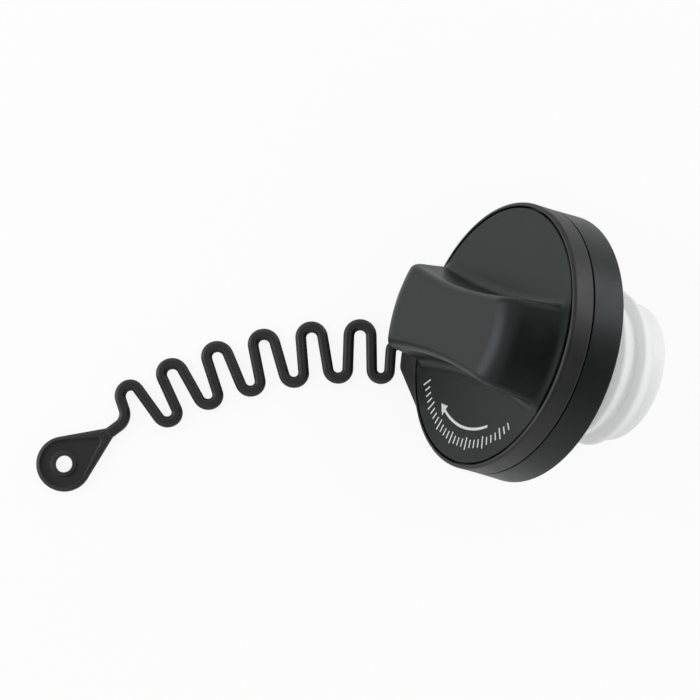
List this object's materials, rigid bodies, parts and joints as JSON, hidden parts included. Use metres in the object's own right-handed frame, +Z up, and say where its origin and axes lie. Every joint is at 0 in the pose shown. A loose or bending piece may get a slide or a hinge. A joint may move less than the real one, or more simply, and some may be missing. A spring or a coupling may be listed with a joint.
{
  "type": "fuel filler cap",
  "caption": "Screw-in filler cap with a bar handle, ratcheting torque limiter, two-way vent valve and a zigzag tether ending in an eyelet.",
  "frame": {"origin": "where the cap's axis crosses the sealing plane, the gasket's underside", "axes": "+Z up as the tethered cap lies on a floor, which is 34.2 mm below the origin. The cap's own axis, towards the handle, is (-0.811, 0.228, 0.539); the tether runs away towards -X"},
  "size_m": [0.1803, 0.0778, 0.0741],
  "materials": {
    "black_plastic": "fine spark-eroded texture, satin on the handle's edges",
    "tether_plastic": "smooth satin moulding",
    "white_plastic": "natural acetal, smooth and slightly waxy",
    "ring_plastic": "unpigmented acetal",
    "seal_rubber": "black nitrile rubber",
    "spring_steel": "drawn stainless wire"
  },
  "bodies": {
    "housing": {"housing": "white_plastic", "gasket": "seal_rubber", "spring_retainer": "white_plastic", "vent_cage": "white_plastic", "pressure_spring": "spring_steel"},
    "cover": {"cover": "black_plastic", "skirt": "black_plastic", "torque_ring": "ring_plastic"},
    "tether": {"tether_collar": "tether_plastic", "tether_strap": "tether_plastic", "tether_eyelet": "tether_plastic"},
    "pressure_valve": {"pressure_plate": "ring_plastic", "valve_seal": "seal_rubber", "vacuum_spring": "spring_steel"},
    "vacuum_valve": {"vacuum_poppet": "ring_plastic", "vacuum_clip": "ring_plastic"}
  },
  "joints": [
    {"name": "cover_turn", "type": "hinge", "parent": "housing", "child": "cover", "pos_m": [0, 0, 0], "axis": [-0.811, 0.228, 0.5388], "range_deg": [-360, 0]},
    {"name": "tether_turn", "type": "hinge", "parent": "cover", "child": "tether", "pos_m": [0, 0, 0], "axis": [-0.811, 0.228, 0.5388], "continuous": true},
    {"name": "pressure_valve_lift", "type": "slide", "parent": "housing", "child": "pressure_valve", "axis": [-0.811, 0.228, 0.5388], "range_m": [0, 0.002], "stiffness_N_per_m": 300, "springref_m": -0.004, "deforming": ["pressure_spring"]},
    {"name": "vacuum_valve_drop", "type": "slide", "parent": "pressure_valve", "child": "vacuum_valve", "axis": [0.811, -0.228, -0.5388], "range_m": [0, 0.0012], "stiffness_N_per_m": 60, "springref_m": -0.002, "deforming": ["vacuum_spring"]}
  ]
}
